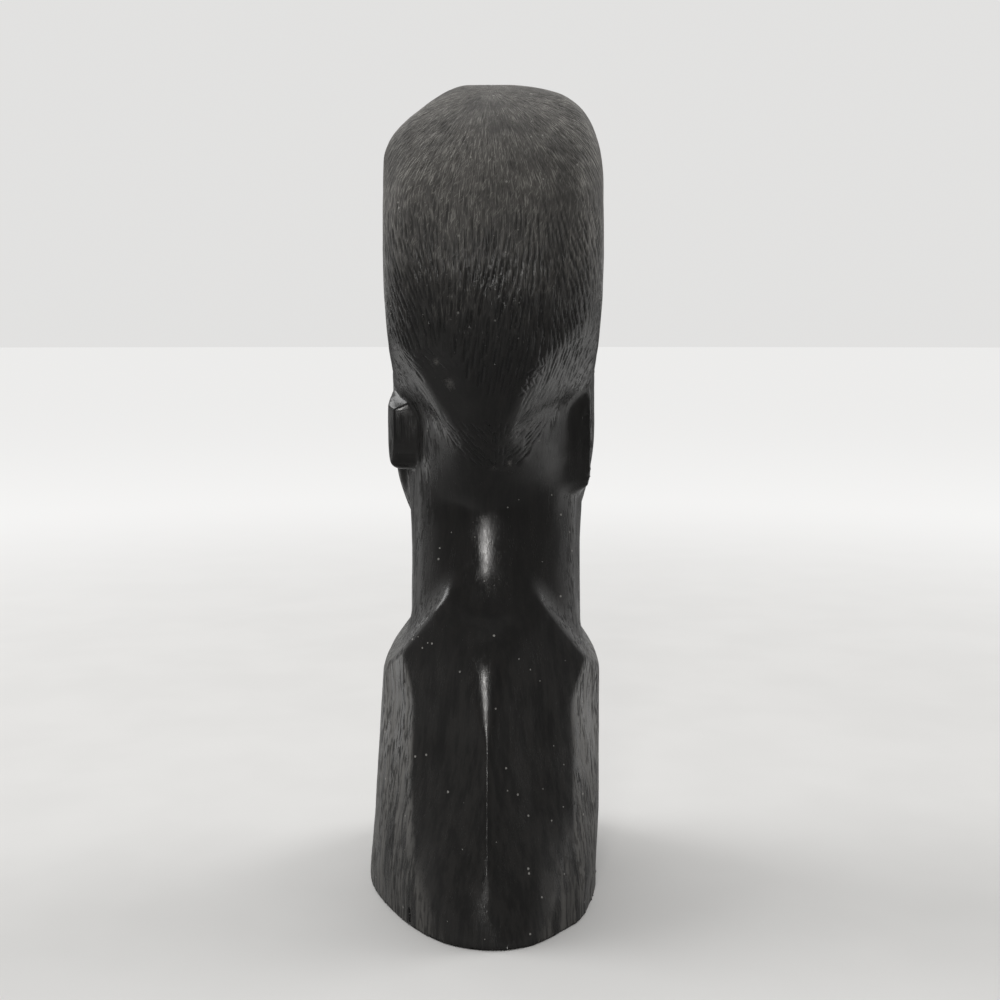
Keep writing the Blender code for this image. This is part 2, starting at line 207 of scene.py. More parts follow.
def step(value, low, high):
    """Goes smoothly from 0 at low to 1 at high."""
    t = np.clip((value - low) / (high - low), 0, 1)
    return t * t * (3 - 2 * t)


def hill(u, v):
    """A smooth hill of height 1 over the circle of radius 1."""
    return np.exp(-2.2 * (u * u + v * v))


def oval(u, v, half_u, half_v, squareness):
    """Distance to a rounded outline, measured along lines through its middle."""
    q = (np.abs(u / half_u) ** squareness + np.abs(v / half_v) ** squareness) ** (1 / squareness)
    return np.hypot(u, v) * (1 - 1 / np.maximum(q, 1e-6))


def plane(x, y, z, point, normal):
    """Distance in front of a plane through a point."""
    distance = sum((c - p) * n for c, p, n in zip((x, y, z), point, normal))
    return distance / math.hypot(*normal)


def ridge(across, out, spread, edge):
    """Two planes that meet in an upright ridge, whose rounded crest lies at across = 0, out = 0."""
    c, s = math.cos(spread), math.sin(spread)
    front = out * c - (1 - math.sqrt(0.5)) * edge
    return round_and(front + across * s, front - across * s, edge)


def foot(x, y, z):
    """The chest and back, up to the slopes round the neck."""
    down = np.clip(1 - z / SHOULDER_Z, 0, 1)
    left = FOOT_HALF_WIDTH - 5.5 * (1 - down) - 0.4 * step(z, 0, 24)
    right = -FOOT_HALF_WIDTH + 1.1 * step(-z, -30, -4)
    behind = FOOT_HALF_DEPTH - WIDEST_Y - 0.05 * z
    before = FOOT_HALF_DEPTH + WIDEST_Y - 0.05 * z
    v = y - WIDEST_Y
    u = x - (left + right) / 2 + 0.0012 * np.maximum(v, 0) ** 2 * down
    block = oval(u, v, (left - right) / 2, np.where(v > 0, behind, before), 2.2)
    back = BACK_Y + BACK_LEAN * (92 - z)
    from_spine = np.clip(np.abs(x - SPINE_X) / BACK_HALF_WIDTH, 0, 1)
    rounding = BACK_ROUNDING * step(-z, -50, 0) * from_spine * (1 - from_spine)
    edge = 0.3 + 6.0 * step(z, 58, 84)
    block = round_and(block, ridge(x - SPINE_X, y - back - rounding, BACK_SPREAD, edge), 2.0)
    chest = -y - 47.0 - 0.28 * (92 - z)
    block = round_and(block, ridge(x - SPINE_X, chest + 1.6, math.radians(24), 6.0), 5.0)
    for side, outward, limit, normal in FLANKS:
        from_side = x - side - outward * step(z, 68, 92)
        from_bend = y - np.minimum(back - math.tan(BACK_SPREAD) * abs(side - SPINE_X), limit)
        along = from_side * normal[1] - from_bend * normal[0]
        bulge = 0.002 * along ** 2 / (1 + (along / 25) ** 2)
        edge = FLANK_EDGE + 5.0 * step(-z, -16, 0)
        block = round_and(block, from_side * normal[0] + from_bend * normal[1] + bulge, edge)
    for point, normal, edge in NECK_CUTS:
        block = round_and(block, plane(x, y, z, point, normal), edge)
    point, normal, edge = SHOULDER_CUT
    return round_and(block, plane(np.abs(x - SHOULDER_X), y, z, point, normal), edge)


def neck(x, y, z):
    """A leaning column with a ridge down its back."""
    middle_y = NECK_Y - NECK_LEAN * (z - 100)
    half_width = NECK_HALF_WIDTH + step(z, 118, 145)
    above = np.maximum(z - NECK_SWELL_Z, 0)
    rise = np.minimum(above, 17)
    half_depth = NECK_HALF_DEPTH + NECK_SWELL * rise * (2 * above - rise) * (y > middle_y)
    column = oval(x - NECK_X, y - middle_y, half_width, half_depth, 2.2)
    back = y - middle_y - half_depth + 1.2
    column = round_and(column, ridge(x - SPINE_X, back, math.radians(15), 6.0), 12.0)
    return round_and(column, z - NECK_TOP_Z, 12.0)


def hair_edge(x, y):
    """Height of the hairline round the head: a point at the nape, sideburns, level over the face."""
    from_nape = np.abs(x - NAPE_X)
    nape = NAPE_Z + 2.0 * np.logaddexp(0, (from_nape - 9) / 1.2)
    front = SIDE_HAIRLINE_Z + (FOREHEAD_TOP_Z - SIDE_HAIRLINE_Z) * step(-y, 18, 40)
    front = front + (SIDEBURN_Z - SIDE_HAIRLINE_Z) * step(-y, 10, 13) * step(y, -22, -18)
    return np.where(y > 0, np.minimum(nape, SIDE_HAIRLINE_Z), front)


def nape_cut(x, y, z, way):
    """The plane cut from a back corner of the head down to the nape, on one side."""
    return plane((x - NAPE_X) * way, y, z, *NAPE_CUTS[way])


def skull(x, y, z):
    """The tall back and crown of the head, trimmed by the nape and crown cuts."""
    u, v, w = x - SKULL_X, y - SKULL_Y, z - SKULL_Z
    narrowing = 0.0019 * np.maximum(222 - z, 0) ** 2 + 0.0006 * np.maximum(z - 222, 0) ** 2
    sides = np.abs(u) - (HEAD_HALF_WIDTH - narrowing) + 0.0022 * np.maximum(v, 0) ** 2
    outline = round_and(sides, z - HEIGHT - 5, 22.0)
    height = np.where(w > 0, HEIGHT + 0.8 - SKULL_Z, SKULL_DROP)
    power = np.where(w > 0, 2.4, 2.0)
    bowed = v + 0.0065 * u * u * v / np.hypot(v, 10)
    profile = oval(bowed, w, HEAD_HALF_DEPTH, height, power)
    solid = round_and(outline, profile, 28 - 20 * step(y, -35, 12))
    edge = NAPE_EDGE + 9.0 * step(z, 184, 206)
    for way in (1, -1):
        solid = round_and(solid, nape_cut(x, y, z, way), edge)
        solid = round_and(solid, plane((x - NAPE_X) * way, y, z, *EAR_CUTS[way]), EAR_CUT_EDGE)
    for point, normal, edge in CROWN_CUTS:
        solid = round_and(solid, plane(u, y, z, point, normal), edge)
    return solid


def face_relief(u, z):
    """How far the features stand out from the smooth front of the face."""
    side = np.abs(u)
    up_nose = np.clip((z - NOSE_FOOT_Z) / (BROW_Z - NOSE_FOOT_Z), 0, 1)
    nose = np.exp(-((side / (7.0 - 3.4 * up_nose)) ** 2.6)) * (1.5 + 11.5 * (1 - up_nose) ** 1.15)
    nose *= step(z, NOSE_FOOT_Z - 1.4, NOSE_FOOT_Z + 3.4) * step(z, BROW_Z + 5, BROW_Z - 6)
    lips = np.clip(1 - (side / 14.0) ** 2, 0, 1)
    hills = (   # height, distance from the midline, height above the chin, half width, half height
        (5.2, 6.8, FACE_THIRD + 3.6, 4.4, 4.4),             # wings of the nose
        (1.8, 14.5, 2 * FACE_THIRD + 0.5, 14.0, 5.0),       # brows
        (-4.4, EYE_X - 1.5, EYE_Z - CHIN_Z, 11.5, 9.0),     # eye sockets
        (2.0, 23.0, EYE_Z - CHIN_Z - 15.0, 13.0, 13.0),     # cheekbones
        (2.6, 0.0, MOUTH_Z - CHIN_Z, 17.0, 13.0),           # the mouth's mound
        (-0.7, 0.0, MOUTH_Z - CHIN_Z + 7.5, 1.6, 5.0),      # the groove above the lips
        (-1.8, 0.0, MOUTH_Z - CHIN_Z - 9.5, 12.0, 3.8),     # under the lower lip
        (3.0, 0.0, 6.0, 12.0, 8.0),                         # chin
    )
    relief = nose + eyes(side, z)
    for height, apart, above_chin, half_width, half_height in hills:
        relief = relief + height * hill((side - apart) / half_width, (z - CHIN_Z - above_chin) / half_height)
    upper = 3.0 * hill(0, (z - MOUTH_Z - 2.7 * lips - 0.2) / 3.2)
    lower = 3.4 * hill(0, (z - MOUTH_Z + 3.5 * lips + 0.3) / 3.8)
    parting = 2.2 * hill(0, (z - MOUTH_Z - 0.5 * lips + 0.3) / 1.0)
    return relief + np.sqrt(lips) * (upper + lower - parting)


def eyes(side, z):
    """Closed eyes: a smooth ball under an upper lid that overhangs along a low curve."""
    across = (side - EYE_X) / 8.6
    ball = np.exp(-(np.hypot(across, (z - EYE_Z) / 5.4) ** 3))
    lid = EYE_Z - 2.6 + 2.2 * across ** 2
    lash = hill(0, (z - lid) / 0.9) * step(1 - across ** 2, 0, 0.5)
    crease = hill(0, (z - EYE_Z - 5.2 + 3.0 * across ** 2) / 1.2) * step(1.1 - across ** 2, 0, 0.7)
    return ball * (3.2 + 1.1 * step(z - lid, -0.7, 0.7)) - 0.55 * lash - 0.5 * crease


def face(x, y, z):
    """The face from hairline to chin, back to the ears."""
    u = x - SKULL_X
    drop = np.clip((CHEEK_Z - z) / (CHEEK_Z - CHIN_Z + 2.5), 0, 0.995)
    half_width = (HEAD_HALF_WIDTH - 0.6) * (1 - drop ** 2.2) ** (1 / 2.3)
    half_width = half_width - 0.0012 * np.maximum(z - CHEEK_Z, 0) ** 2 - 0.005 * np.maximum(y + 22, 0) ** 2
    front_y = FACE_FRONT_Y + 0.0008 * (z - 165) ** 2 - face_relief(u, z)
    v = np.minimum(y - FACE_BACK_Y, 0)
    solid = oval(u, v, np.maximum(half_width, 0.5), FACE_BACK_Y - front_y, 2.3)
    solid = round_and(solid, plane(u, y, z, (0, -48.0, CHIN_Z), (0, -0.36, -0.93)), 4.0)
    solid = round_and(solid, z - FOREHEAD_TOP_Z, 1.5)
    return round_and(solid, y - FACE_BACK_Y - 0.4 * (z - 150), 2.0)


def ear(x, y, z, way, low, high, back, stand_out, squareness):
    """A thick upright slab with a flat rear edge and a scooped outer face."""
    out = way * (x - SKULL_X) + 0.14 * (back - y)
    along, up = y - back + EAR_HALF_DEPTH, z - (low + high) / 2
    half_height = (high - low) / 2
    side_view = oval(along, up, EAR_HALF_DEPTH, half_height, np.where(along > 0, 4.0, 2.4))
    rear_view = oval(np.maximum(out - stand_out + 8, 0), up, 8.0, half_height, squareness)
    scoop = np.sqrt(((out - stand_out - 1) / 4.5) ** 2 + (along / 6.2) ** 2 + ((up - 1.5) / 9.5) ** 2)
    slab = np.maximum(round_and(side_view, rear_view, 0.6), EAR_ROOT - out)
    if way > 0:
        for point, normal in EAR_BEVELS:
            slab = round_and(slab, plane(x, y, z, point, normal), 0.5)
    return round_and(slab, (1 - scoop) * 4.5, 1.0)


def crack(x, y, z):
    """The wedge of air in the rim of the foot."""
    u, v = x - CRACK_AT[0], y - CRACK_AT[1]
    half_width = CRACK_WIDTH / 2 * np.clip((v + CRACK_DEPTH) / (CRACK_DEPTH + 3.0), 0, 1)
    return np.maximum(np.abs(u + 0.12 * np.sin(z)) - half_width, z - CRACK_HEIGHT)


def sculpture(x, y, z):
    """The whole work as one piece of wood, standing on z = 0."""
    thickness = HAIR_THICKNESS + (HAIR_THICKNESS_IN_FRONT - HAIR_THICKNESS) * step(-y, -15, 10)
    bare = thickness * step(hair_edge(x, y) - z, -1.2, 1.2)
    head = round_or(skull(x, y, z) + bare, face(x, y, z), 3.0)
    nape = 3.0 + (NECK_FILLET - 3.0) * step(y, 4, 20)
    whole = round_or(round_or(foot(x, y, z), neck(x, y, z), 5.0), head, nape)
    for *shape, fillet in EARS:
        whole = round_or(whole, ear(x, y, z, *shape), fillet)
    return round_and(round_and(whole, -crack(x, y, z), 0.15), -z, 0.4)


# --- The skin -------------------------------------------------------------------------------------


def cells_of(node):
    """A mesh of small even cells over a CAD node."""
    copy = bpy.data.objects.new("cells", node.data.copy())
    bpy.context.scene.collection.objects.link(copy)
    remesh = copy.modifiers.new("cells", "REMESH")
    remesh.mode = "VOXEL"
    remesh.voxel_size = CELL * MM
    mesh = bpy.data.meshes.new_from_object(copy.evaluated_get(bpy.context.evaluated_depsgraph_get()))
    bpy.data.objects.remove(copy)
    return mesh


def places(mesh):
    """The points of a mesh, in millimetres."""
    points = np.empty(3 * len(mesh.vertices))
    mesh.vertices.foreach_get("co", points)
    return points.reshape(-1, 3) / MM


def divide(mesh):
    """Cuts the cells in the hair and on sharply curved wood into finer ones."""
    points, normals = settle(places(mesh))
    x, y, z = points.T
    combed = z > hair_edge(x, y) - 2
    seen = combed & (y > 8) | (np.hypot(x - CRACK_AT[0], z - 4) < 7) & (y > 30)
    work = bmesh.new()
    work.from_mesh(mesh)
    fine, coarse = set(), set()
    for cell in work.faces:
        corners = [vertex.index for vertex in cell.verts]
        bend = normals[corners[0]] @ normals[corners[2]]
        if seen[corners].any() or bend < 0.975:
            fine.update(cell.edges)
        elif combed[corners].any():
            coarse.update(cell.edges)
    bmesh.ops.subdivide_edges(work, edges=list(coarse - fine), cuts=1, use_grid_fill=True)
    bmesh.ops.subdivide_edges(work, edges=list(fine), cuts=CUTS, use_grid_fill=True)
    work.to_mesh(mesh)
    work.free()


def settle(points):
    """Points moved onto the form, and the direction each faces."""
    reach = 0.05
    value = sculpture(*points.T)
    slope = np.stack([sculpture(*(points + reach * axis).T) - value for axis in np.eye(3)], 1) / reach
    steepness = np.linalg.norm(slope, axis=1)
    normals = slope / np.maximum(steepness, 1e-6)[:, None]
    for _ in range(3):
        move = np.clip(value / np.maximum(steepness, 0.4), -CELL, CELL)
        points = points - move[:, None] * normals
        value = sculpture(*points.T)
    return points, normals


def waves(points, sizes, rng):
    """Smooth uneven noise between about -1 and 1, from waves crossing in many directions."""
    total = np.zeros(len(points))
    for size in sizes:
        for _ in range(5):
            direction = rng.normal(size=3)
            direction /= np.linalg.norm(direction)
            total += np.sin(points @ direction * (2 * math.pi / size) + rng.uniform(0, 2 * math.pi))
    return total / (2 * math.sqrt(len(sizes) * 5 / 2))


# --- Hair -----------------------------------------------------------------------------------------


def comb(points):
    """Places in the combed hair: round the head below the crown, and fanned out from the whorl on it."""
    x, y, z = (points - WHORL).T
    down = 0.75 * (y - z)
    crown = step(z, -52, -27)
    across = (1 - crown) * 50 * np.arctan2(x, y + 29) + crown * 40 * np.arctan2(x, down)
    return np.stack((across, np.hypot(x, down), 0 * z), 1)


def comb_directions(points, normals):
    """Which way the strands run: away from the whorl on the crown, and straight down below it."""
    down = np.array((0, 0, -1.0)) + 0 * points
    away = (points - WHORL) * (1, 0.75, 0.75)
    away /= np.linalg.norm(away, axis=1)[:, None]
    direction = down + (away - down) * step(points[:, 2:], 222, 252)
    direction -= normals * (direction * normals).sum(1)[:, None]
    return direction / np.maximum(np.linalg.norm(direction, axis=1), 1e-3)[:, None]


def stroke_plan(points, rng):
    """For places on the hair: slant against the comb, length, spacing and depth of the strokes."""
    x, y, z = points.T
    u = x - SKULL_X
    slant = np.interp(u, (-28, -21, -12.6, -5.7, 8, 15, 23.6), (-0.4, -0.25, 0.08, 0.2, 0.13, 0.0, -0.35))
    slant *= 1 - step(z, 222, 240)
    length = 8.0 - 3.5 * step(z, 228, 246)
    spacing = 1.45 - 0.35 * step(z, 228, 246)
    depth = 0.36 - 0.20 * step(z, 224, 242) - 0.24 * step(-z, -190, -170)
    tip = z < 167
    slant = np.where(tip, np.where(u > 0.5, -0.7, np.where(u < -5, 1.0, 0)), slant)
    depth = np.where(tip, 0.24, depth)
    length = np.where(tip, 5.0, length)
    band_left = (nape_cut(x, y, z, 1) > -0.6) & (x > NAPE_X) & ~tip
    band_right = (nape_cut(x, y, z, -1) > -0.6) & (x < NAPE_X) & ~tip
    slant = np.where(band_left, -0.85, slant)
    length = np.where(band_left, 6.0, length)
    depth = np.where(band_left, 0.25 * (1 - 0.9 * smoothed(x, y, z)), depth)
    wild = rng.uniform(-1.5, 1.5, len(z))
    slant = np.where(band_right, np.where(z > 178, wild, 1.3), slant)
    length = np.where(band_right, 3.4, length)
    depth = np.where(band_right, 0.30, depth)
    spacing = np.where(band_left | band_right | tip, 1.2, spacing)
    far = (y < 8) & ~band_left & ~band_right
    slant = np.where(far, 0.15 * np.sin(z / 9), slant)
    depth = np.where(far, 0.20, depth)
    length = np.where(far, 7.0, length)
    spacing = np.where(far, 1.8, spacing)
    slant = slant + 0.06 * waves(points, (17, 29), rng)
    return slant, length * rng.uniform(0.7, 1.3, len(z)), spacing, depth * rng.uniform(0.5, 1.25, len(z))


def place_strokes(points, normals, rng):
    """Strokes over the hair, closely packed: middles, directions along and across, and sizes."""
    trials = rng.permutation(len(points))[:TRIALS]
    points, normals = points[trials], normals[trials]
    slant, length, spacing, depth = stroke_plan(points, rng)
    down = comb_directions(points, normals)
    along = down + slant[:, None] * np.cross(down, normals)
    along /= np.maximum(np.linalg.norm(along, axis=1), 1e-3)[:, None]
    across = np.cross(normals, along)
    kept = []
    taken = np.empty((0, 3))
    for i in range(len(points)):
        away = points[i] - taken
        u, v = away @ along[i], away @ across[i]
        near = (u / (0.80 * length[i])) ** 2 + (v / (0.80 * spacing[i])) ** 2 < 1
        if not near[np.abs(away @ normals[i]) < 4].any():
            kept.append(i)
            taken = points[kept]
    return points[kept], along[kept], across[kept], length[kept], spacing[kept], depth[kept]


def smoothed(x, y, z):
    """1 on the part of the hair's left border that is left nearly smooth, and 0 elsewhere."""
    on_border = step(nape_cut(x, y, z, 1), -1.6, -0.6) * (x > NAPE_X)
    return on_border * step(-z, -189, -181) * step(z, 160, 168)


def wear(x, y, z):
    """Worn and chipped spots on the border of the hair."""
    worn = sum(hill((x - px) / size, (z - pz) / (1.4 * size)) for px, pz, size in WORN_SPOTS)
    return np.clip(worn, 0, 1) * (y > 5)


def stroke_depths(points, strokes):
    """How deep the strokes cut at each point."""
    tree = kdtree.KDTree(len(points))
    for i, point in enumerate(points):
        tree.insert(point, i)
    tree.balance()
    deep = np.zeros(len(points))
    for middle, along, across, length, spacing, depth in zip(*strokes):
        near = np.array([found[1] for found in tree.find_range(middle, length / 2)], dtype=int)
        away = points[near] - middle
        u, v = away @ along / (length / 2), np.abs(away @ across) / (spacing * 0.5)
        cut = depth * np.clip(1 - v, 0, 1) * np.sqrt(np.clip(1 - u * u, 0, 1))
        deep[near] = np.maximum(deep[near], cut)
    return deep


def carve(node):
    """The finished piece: the settled skin with its strokes cut in, as an object."""
    rng = np.random.default_rng(7)
    mesh = cells_of(node)
    mesh.name = "carving"
    divide(mesh)
    points, normals = settle(places(mesh))
    x, y, z = points.T
    hair = step(z - hair_edge(x, y), -0.6, 0.8)
    on_ear = np.zeros(len(points), dtype=bool)
    for *shape, _ in EARS:
        on_ear |= ear(x, y, z, *shape) < 0.6
    hair[on_ear] = 0
    hair *= 1 - 0.65 * smoothed(x, y, z)
    inside = np.flatnonzero((z - hair_edge(x, y) > 1.0) & ~on_ear)
    strokes = place_strokes(points[inside], normals[inside], rng)
    groove = np.zeros(len(points))
    groove[inside] = stroke_depths(points[inside], strokes)
    split = hill((x - CRACK_AT[0]) / 0.35, 0) * step(-z, -CRACK_HEIGHT, 1 - CRACK_HEIGHT) * (y > 30)
    groove = np.maximum(groove, 0.6 * split)
    uneven = 0.06 * waves(points, (7, 11, 17), rng) * step(z, 1, 6)
    points = points + normals * (uneven - groove)[:, None]
    low, high = (np.array(corner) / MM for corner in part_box(NODE))
    points = np.clip(points, low, high)
    mesh.vertices.foreach_set("co", (points * MM).ravel())
    for name, values in (("hair", hair), ("groove", groove), ("wear", wear(x, y, z))):
        mesh.attributes.new(name, "FLOAT", "POINT").data.foreach_set("value", values)
    strands = mesh.attributes.new("comb", "FLOAT_VECTOR", "POINT")
    strands.data.foreach_set("vector", comb(points).ravel())
    mesh.shade_smooth()
    piece = bpy.data.objects.new("carving", mesh)
    bpy.context.scene.collection.objects.link(piece)
    fewer = piece.modifiers.new("fewer_triangles", "DECIMATE")
    fewer.ratio = min(1, TRIANGLES / (2 * len(mesh.polygons)))
    return piece


# --- Material -------------------------------------------------------------------------------------


class Nodes:
    """Short names for the shader nodes of one material."""

    def __init__(self, name):
        self.material = bpy.data.materials.new(name)
        self.material.use_nodes = True
        self.tree = self.material.node_tree
        self.shader = self.tree.nodes["Principled BSDF"]
        scale = self.add("ShaderNodeVectorMath", operation="SCALE")
        scale.inputs["Scale"].default_value = 1 / MM
        self.put(self.add("ShaderNodeTexCoord").outputs["Object"], scale.inputs[0])
        self.place = scale.outputs["Vector"]

    def add(self, kind, **settings):
        """A new node with these settings."""
        node = self.tree.nodes.new(kind)
        for key, value in settings.items():
            setattr(node, key, value)
        return node

    def put(self, value, socket):
        """Links a socket, or sets a number or colour, on an input."""
        if isinstance(value, bpy.types.NodeSocket):
            self.tree.links.new(value, socket)
        else:
            socket.default_value = value

    def stretched(self, sizes, place=None):
        """Object coordinates, or a given place, counted in cells of these sizes."""
        mapping = self.add("ShaderNodeMapping")
        mapping.inputs["Scale"].default_value = [1 / size for size in sizes]
        self.put(place or self.place, mapping.inputs["Vector"])
        return mapping.outputs["Vector"]

    def noise(self, sizes, detail=4.0, roughness=0.55, place=None):
        """Uneven noise around 0.5, in cells of these sizes."""
        node = self.add("ShaderNodeTexNoise")
        self.put(self.stretched(sizes, place), node.inputs["Vector"])
        node.inputs["Scale"].default_value = 1.0
        node.inputs["Detail"].default_value = detail
        node.inputs["Roughness"].default_value = roughness
        return node.outputs["Fac"]

    def spots(self, size):
        """Distance to scattered points, in cells, and a number of its own for each point."""
        node = self.add("ShaderNodeTexVoronoi")
        self.put(self.stretched((size, size, size)), node.inputs["Vector"])
        node.inputs["Scale"].default_value = 1.0
        separate = self.add("ShaderNodeSeparateColor")
        self.put(node.outputs["Color"], separate.inputs["Color"])
        return node.outputs["Distance"], separate.outputs["Red"]

    def ramp(self, value, low, high, to_low=0.0, to_high=1.0):
        """Takes low to to_low and high to to_high, smoothly, and stops there."""
        node = self.add("ShaderNodeMapRange", interpolation_type="SMOOTHSTEP")
        for name, given in (("Value", value), ("From Min", low), ("From Max", high)):
            self.put(given, node.inputs[name])
        node.inputs["To Min"].default_value = to_low
        node.inputs["To Max"].default_value = to_high
        return node.outputs["Result"]

    def math(self, operation, a, b=0.0):
        node = self.add("ShaderNodeMath", operation=operation)
        self.put(a, node.inputs[0])
        self.put(b, node.inputs[1])
        return node.outputs["Value"]

    def mix(self, factor, a, b):
        """a where factor is 0 and b where it is 1, for colours."""
        node = self.add("ShaderNodeMix", data_type="RGBA")
        self.put(factor, node.inputs[0])
        self.put(a, node.inputs[6])
        self.put(b, node.inputs[7])
        return node.outputs[2]

    def blend(self, factor, a, b):
        """The same for numbers."""
        node = self.add("ShaderNodeMix", data_type="FLOAT")
        self.put(factor, node.inputs[0])
        self.put(a, node.inputs[2])
        self.put(b, node.inputs[3])
        return node.outputs[0]

    def parts(self, vector):
        """The three numbers of a vector."""
        node = self.add("ShaderNodeSeparateXYZ")
        self.put(vector, node.inputs["Vector"])
        return node.outputs["X"], node.outputs["Y"], node.outputs["Z"]

    def distance(self, point):
        """Millimetres from a point."""
        node = self.add("ShaderNodeVectorMath", operation="DISTANCE")
        self.put(self.place, node.inputs[0])
        node.inputs[1].default_value = point
        return node.outputs["Value"]

    def turned(self, vector, angle):
        """A vector turned round +Z."""
        node = self.add("ShaderNodeVectorRotate", rotation_type="Z_AXIS")
        self.put(vector, node.inputs["Vector"])
        node.inputs["Angle"].default_value = angle
        return node.outputs["Vector"]

    def attribute(self, name):
        """A number that the skin carries at each of its points."""
        return self.add("ShaderNodeAttribute", attribute_name=name).outputs["Fac"]

    def bump(self, height, strength, distance):
        """The surface's direction, tilted by a relief too fine for the mesh."""
        node = self.add("ShaderNodeBump")
        node.inputs["Strength"].default_value = strength
        node.inputs["Distance"].default_value = distance
        self.put(height, node.inputs["Height"])
        return node.outputs["Normal"]


def ebony():
    """Near-black hardwood: upright grain and pores, uneven polish, a painted sheen on the flanks, painted
    shade in the strokes, dry greyish hair painted lighter towards the crown, and specks of dust.
    """
    n = Nodes("ebony")
    hair, groove, worn = n.attribute("hair"), n.attribute("groove"), n.attribute("wear")
    combed = n.add("ShaderNodeAttribute", attribute_name="comb").outputs["Vector"]
    height = n.parts(n.place)[2]
    normal = n.add("ShaderNodeNewGeometry").outputs["Normal"]
    facing = n.parts(normal)[2]

    # Grain, fibres and pores
    streaks = n.noise((2.6, 2.6, 45), 5.0, 0.6)
    clouds = n.noise((14, 14, 24), 3.0)
    fibres = n.noise((0.35, 0.35, 6.0), 3.0, 0.6)
    pores = n.ramp(n.noise((0.9, 0.9, 7.0), 3.0, 0.6), 0.52, 0.55)
    pores = n.math("MULTIPLY", pores, n.ramp(n.noise((7, 7, 24), 2.0), 0.34, 0.50))
    sideways = n.ramp(n.math("ABSOLUTE", n.parts(normal)[0]), 0.56, 0.78, 0.08, 1.0)
    pores = n.math("MULTIPLY", pores, n.math("MULTIPLY", sideways, n.math("SUBTRACT", 1.0, hair)))

    # Colour: the wood, a painted sheen on its flanks, and the hair, dry and painted lighter towards the crown
    colour = n.mix(n.ramp(streaks, 0.35, 0.7), WOOD_DARK, WOOD_LIGHT)
    colour = n.mix(n.ramp(clouds, 0.4, 0.75, 0.0, 0.4), colour, WOOD_CLOUDED)
    satin_and_painted_sheen = n.math("MULTIPLY", n.ramp(streaks, 0.38, 0.60), sideways)
    # Painted sheen: streaks on the flanks that face sideways are painted lighter, below the shoulders
    painted_flank_sheen = n.math("MULTIPLY", satin_and_painted_sheen, n.ramp(height, 80, 96, 0.85, 0.0))
    colour = n.mix(painted_flank_sheen, colour, PAINTED_FLANK_SHEEN)
    ragged = n.math("MULTIPLY", n.noise((13, 13, 13), 4.0, 0.6), 22.0)
    # Partly painted light: the hair is greyer towards the crown as it is dry, and painted lighter there where
    # the top light falls
    dry_and_lit_crown = n.math("MULTIPLY", n.ramp(n.math("ADD", height, ragged), 198, 264), hair)
    patch = n.ramp(n.noise((13, 13, 13), 5.0, 0.65), 0.34, 0.62)
    strands = n.noise((0.36, 4.5, 1.0), 2.0, 0.6, combed)
    crossing = n.noise((0.36, 3.0, 1.0), 2.0, 0.6, n.turned(combed, 0.6))
    colour = n.mix(n.math("MULTIPLY", dry_and_lit_crown, n.blend(patch, 0.55, 1.0)), colour, DRY_HAIR_AND_TOP_LIGHT)
    scratches = n.math("MAXIMUM", n.ramp(strands, 0.52, 0.64), n.ramp(crossing, 0.58, 0.66))
    flecks = n.math("MULTIPLY", scratches, n.math("MULTIPLY", dry_and_lit_crown, n.blend(patch, 0.25, 1.0)))
    colour = n.mix(flecks, colour, SCRATCH)
    # Painted shade: darker the deeper the gouge strokes and the crack are cut in
    colour = n.mix(n.ramp(groove, 0.02, 0.25, 0.0, 0.65), colour, PAINTED_GROOVE_SHADE)
    colour = n.mix(n.math("MULTIPLY", pores, 0.6), colour, PORE_SHADE)

    # Dust that lies on it, and chips where the hair's border is worn
    distance, own = n.spots(3.8)
    speck = n.math("LESS_THAN", distance, n.ramp(own, 0.35, 1.0, 0.0, 0.11))
    near = n.math("LESS_THAN", n.distance(DUST_AT), DUST_RADIUS)
    distance, own = n.spots(1.7)
    cluster = n.math("LESS_THAN", distance, n.ramp(own, 0.3, 1.0, 0.0, 0.22))
    speck = n.math("MAXIMUM", speck, n.math("MULTIPLY", cluster, near))
    speck = n.math("MULTIPLY", speck, n.ramp(facing, -0.3, 0.1))
    colour = n.mix(n.math("MULTIPLY", speck, 0.8), colour, DUST)
    grit = n.noise((0.4, 0.4, 0.4), 3.0, 0.7)
    chip = n.math("MULTIPLY", worn, n.ramp(grit, 0.35, 0.6))
    colour = n.mix(n.math("MULTIPLY", chip, 0.8), colour, CHIP)
    n.put(colour, n.shader.inputs["Base Color"])

    # Polish, duller on the flanks, in the pores and in the dry hair
    polish = n.ramp(clouds, 0.3, 0.75, 0.12, 0.23)
    rough = n.math("ADD", polish, n.ramp(fibres, 0.35, 0.7, 0.0, 0.06))
    rough = n.blend(satin_and_painted_sheen, rough, 0.42)
    rough = n.blend(n.math("MULTIPLY", pores, 0.9), rough, 0.80)
    rough = n.blend(hair, rough, 0.24)
    dull = n.math("MULTIPLY", n.ramp(n.math("ADD", height, ragged), 214, 262), hair)
    rough = n.blend(dull, rough, 0.70)
    rough = n.blend(n.math("MAXIMUM", speck, chip), rough, 0.9)
    n.put(rough, n.shader.inputs["Roughness"])
    n.shader.inputs["Specular IOR Level"].default_value = 0.5

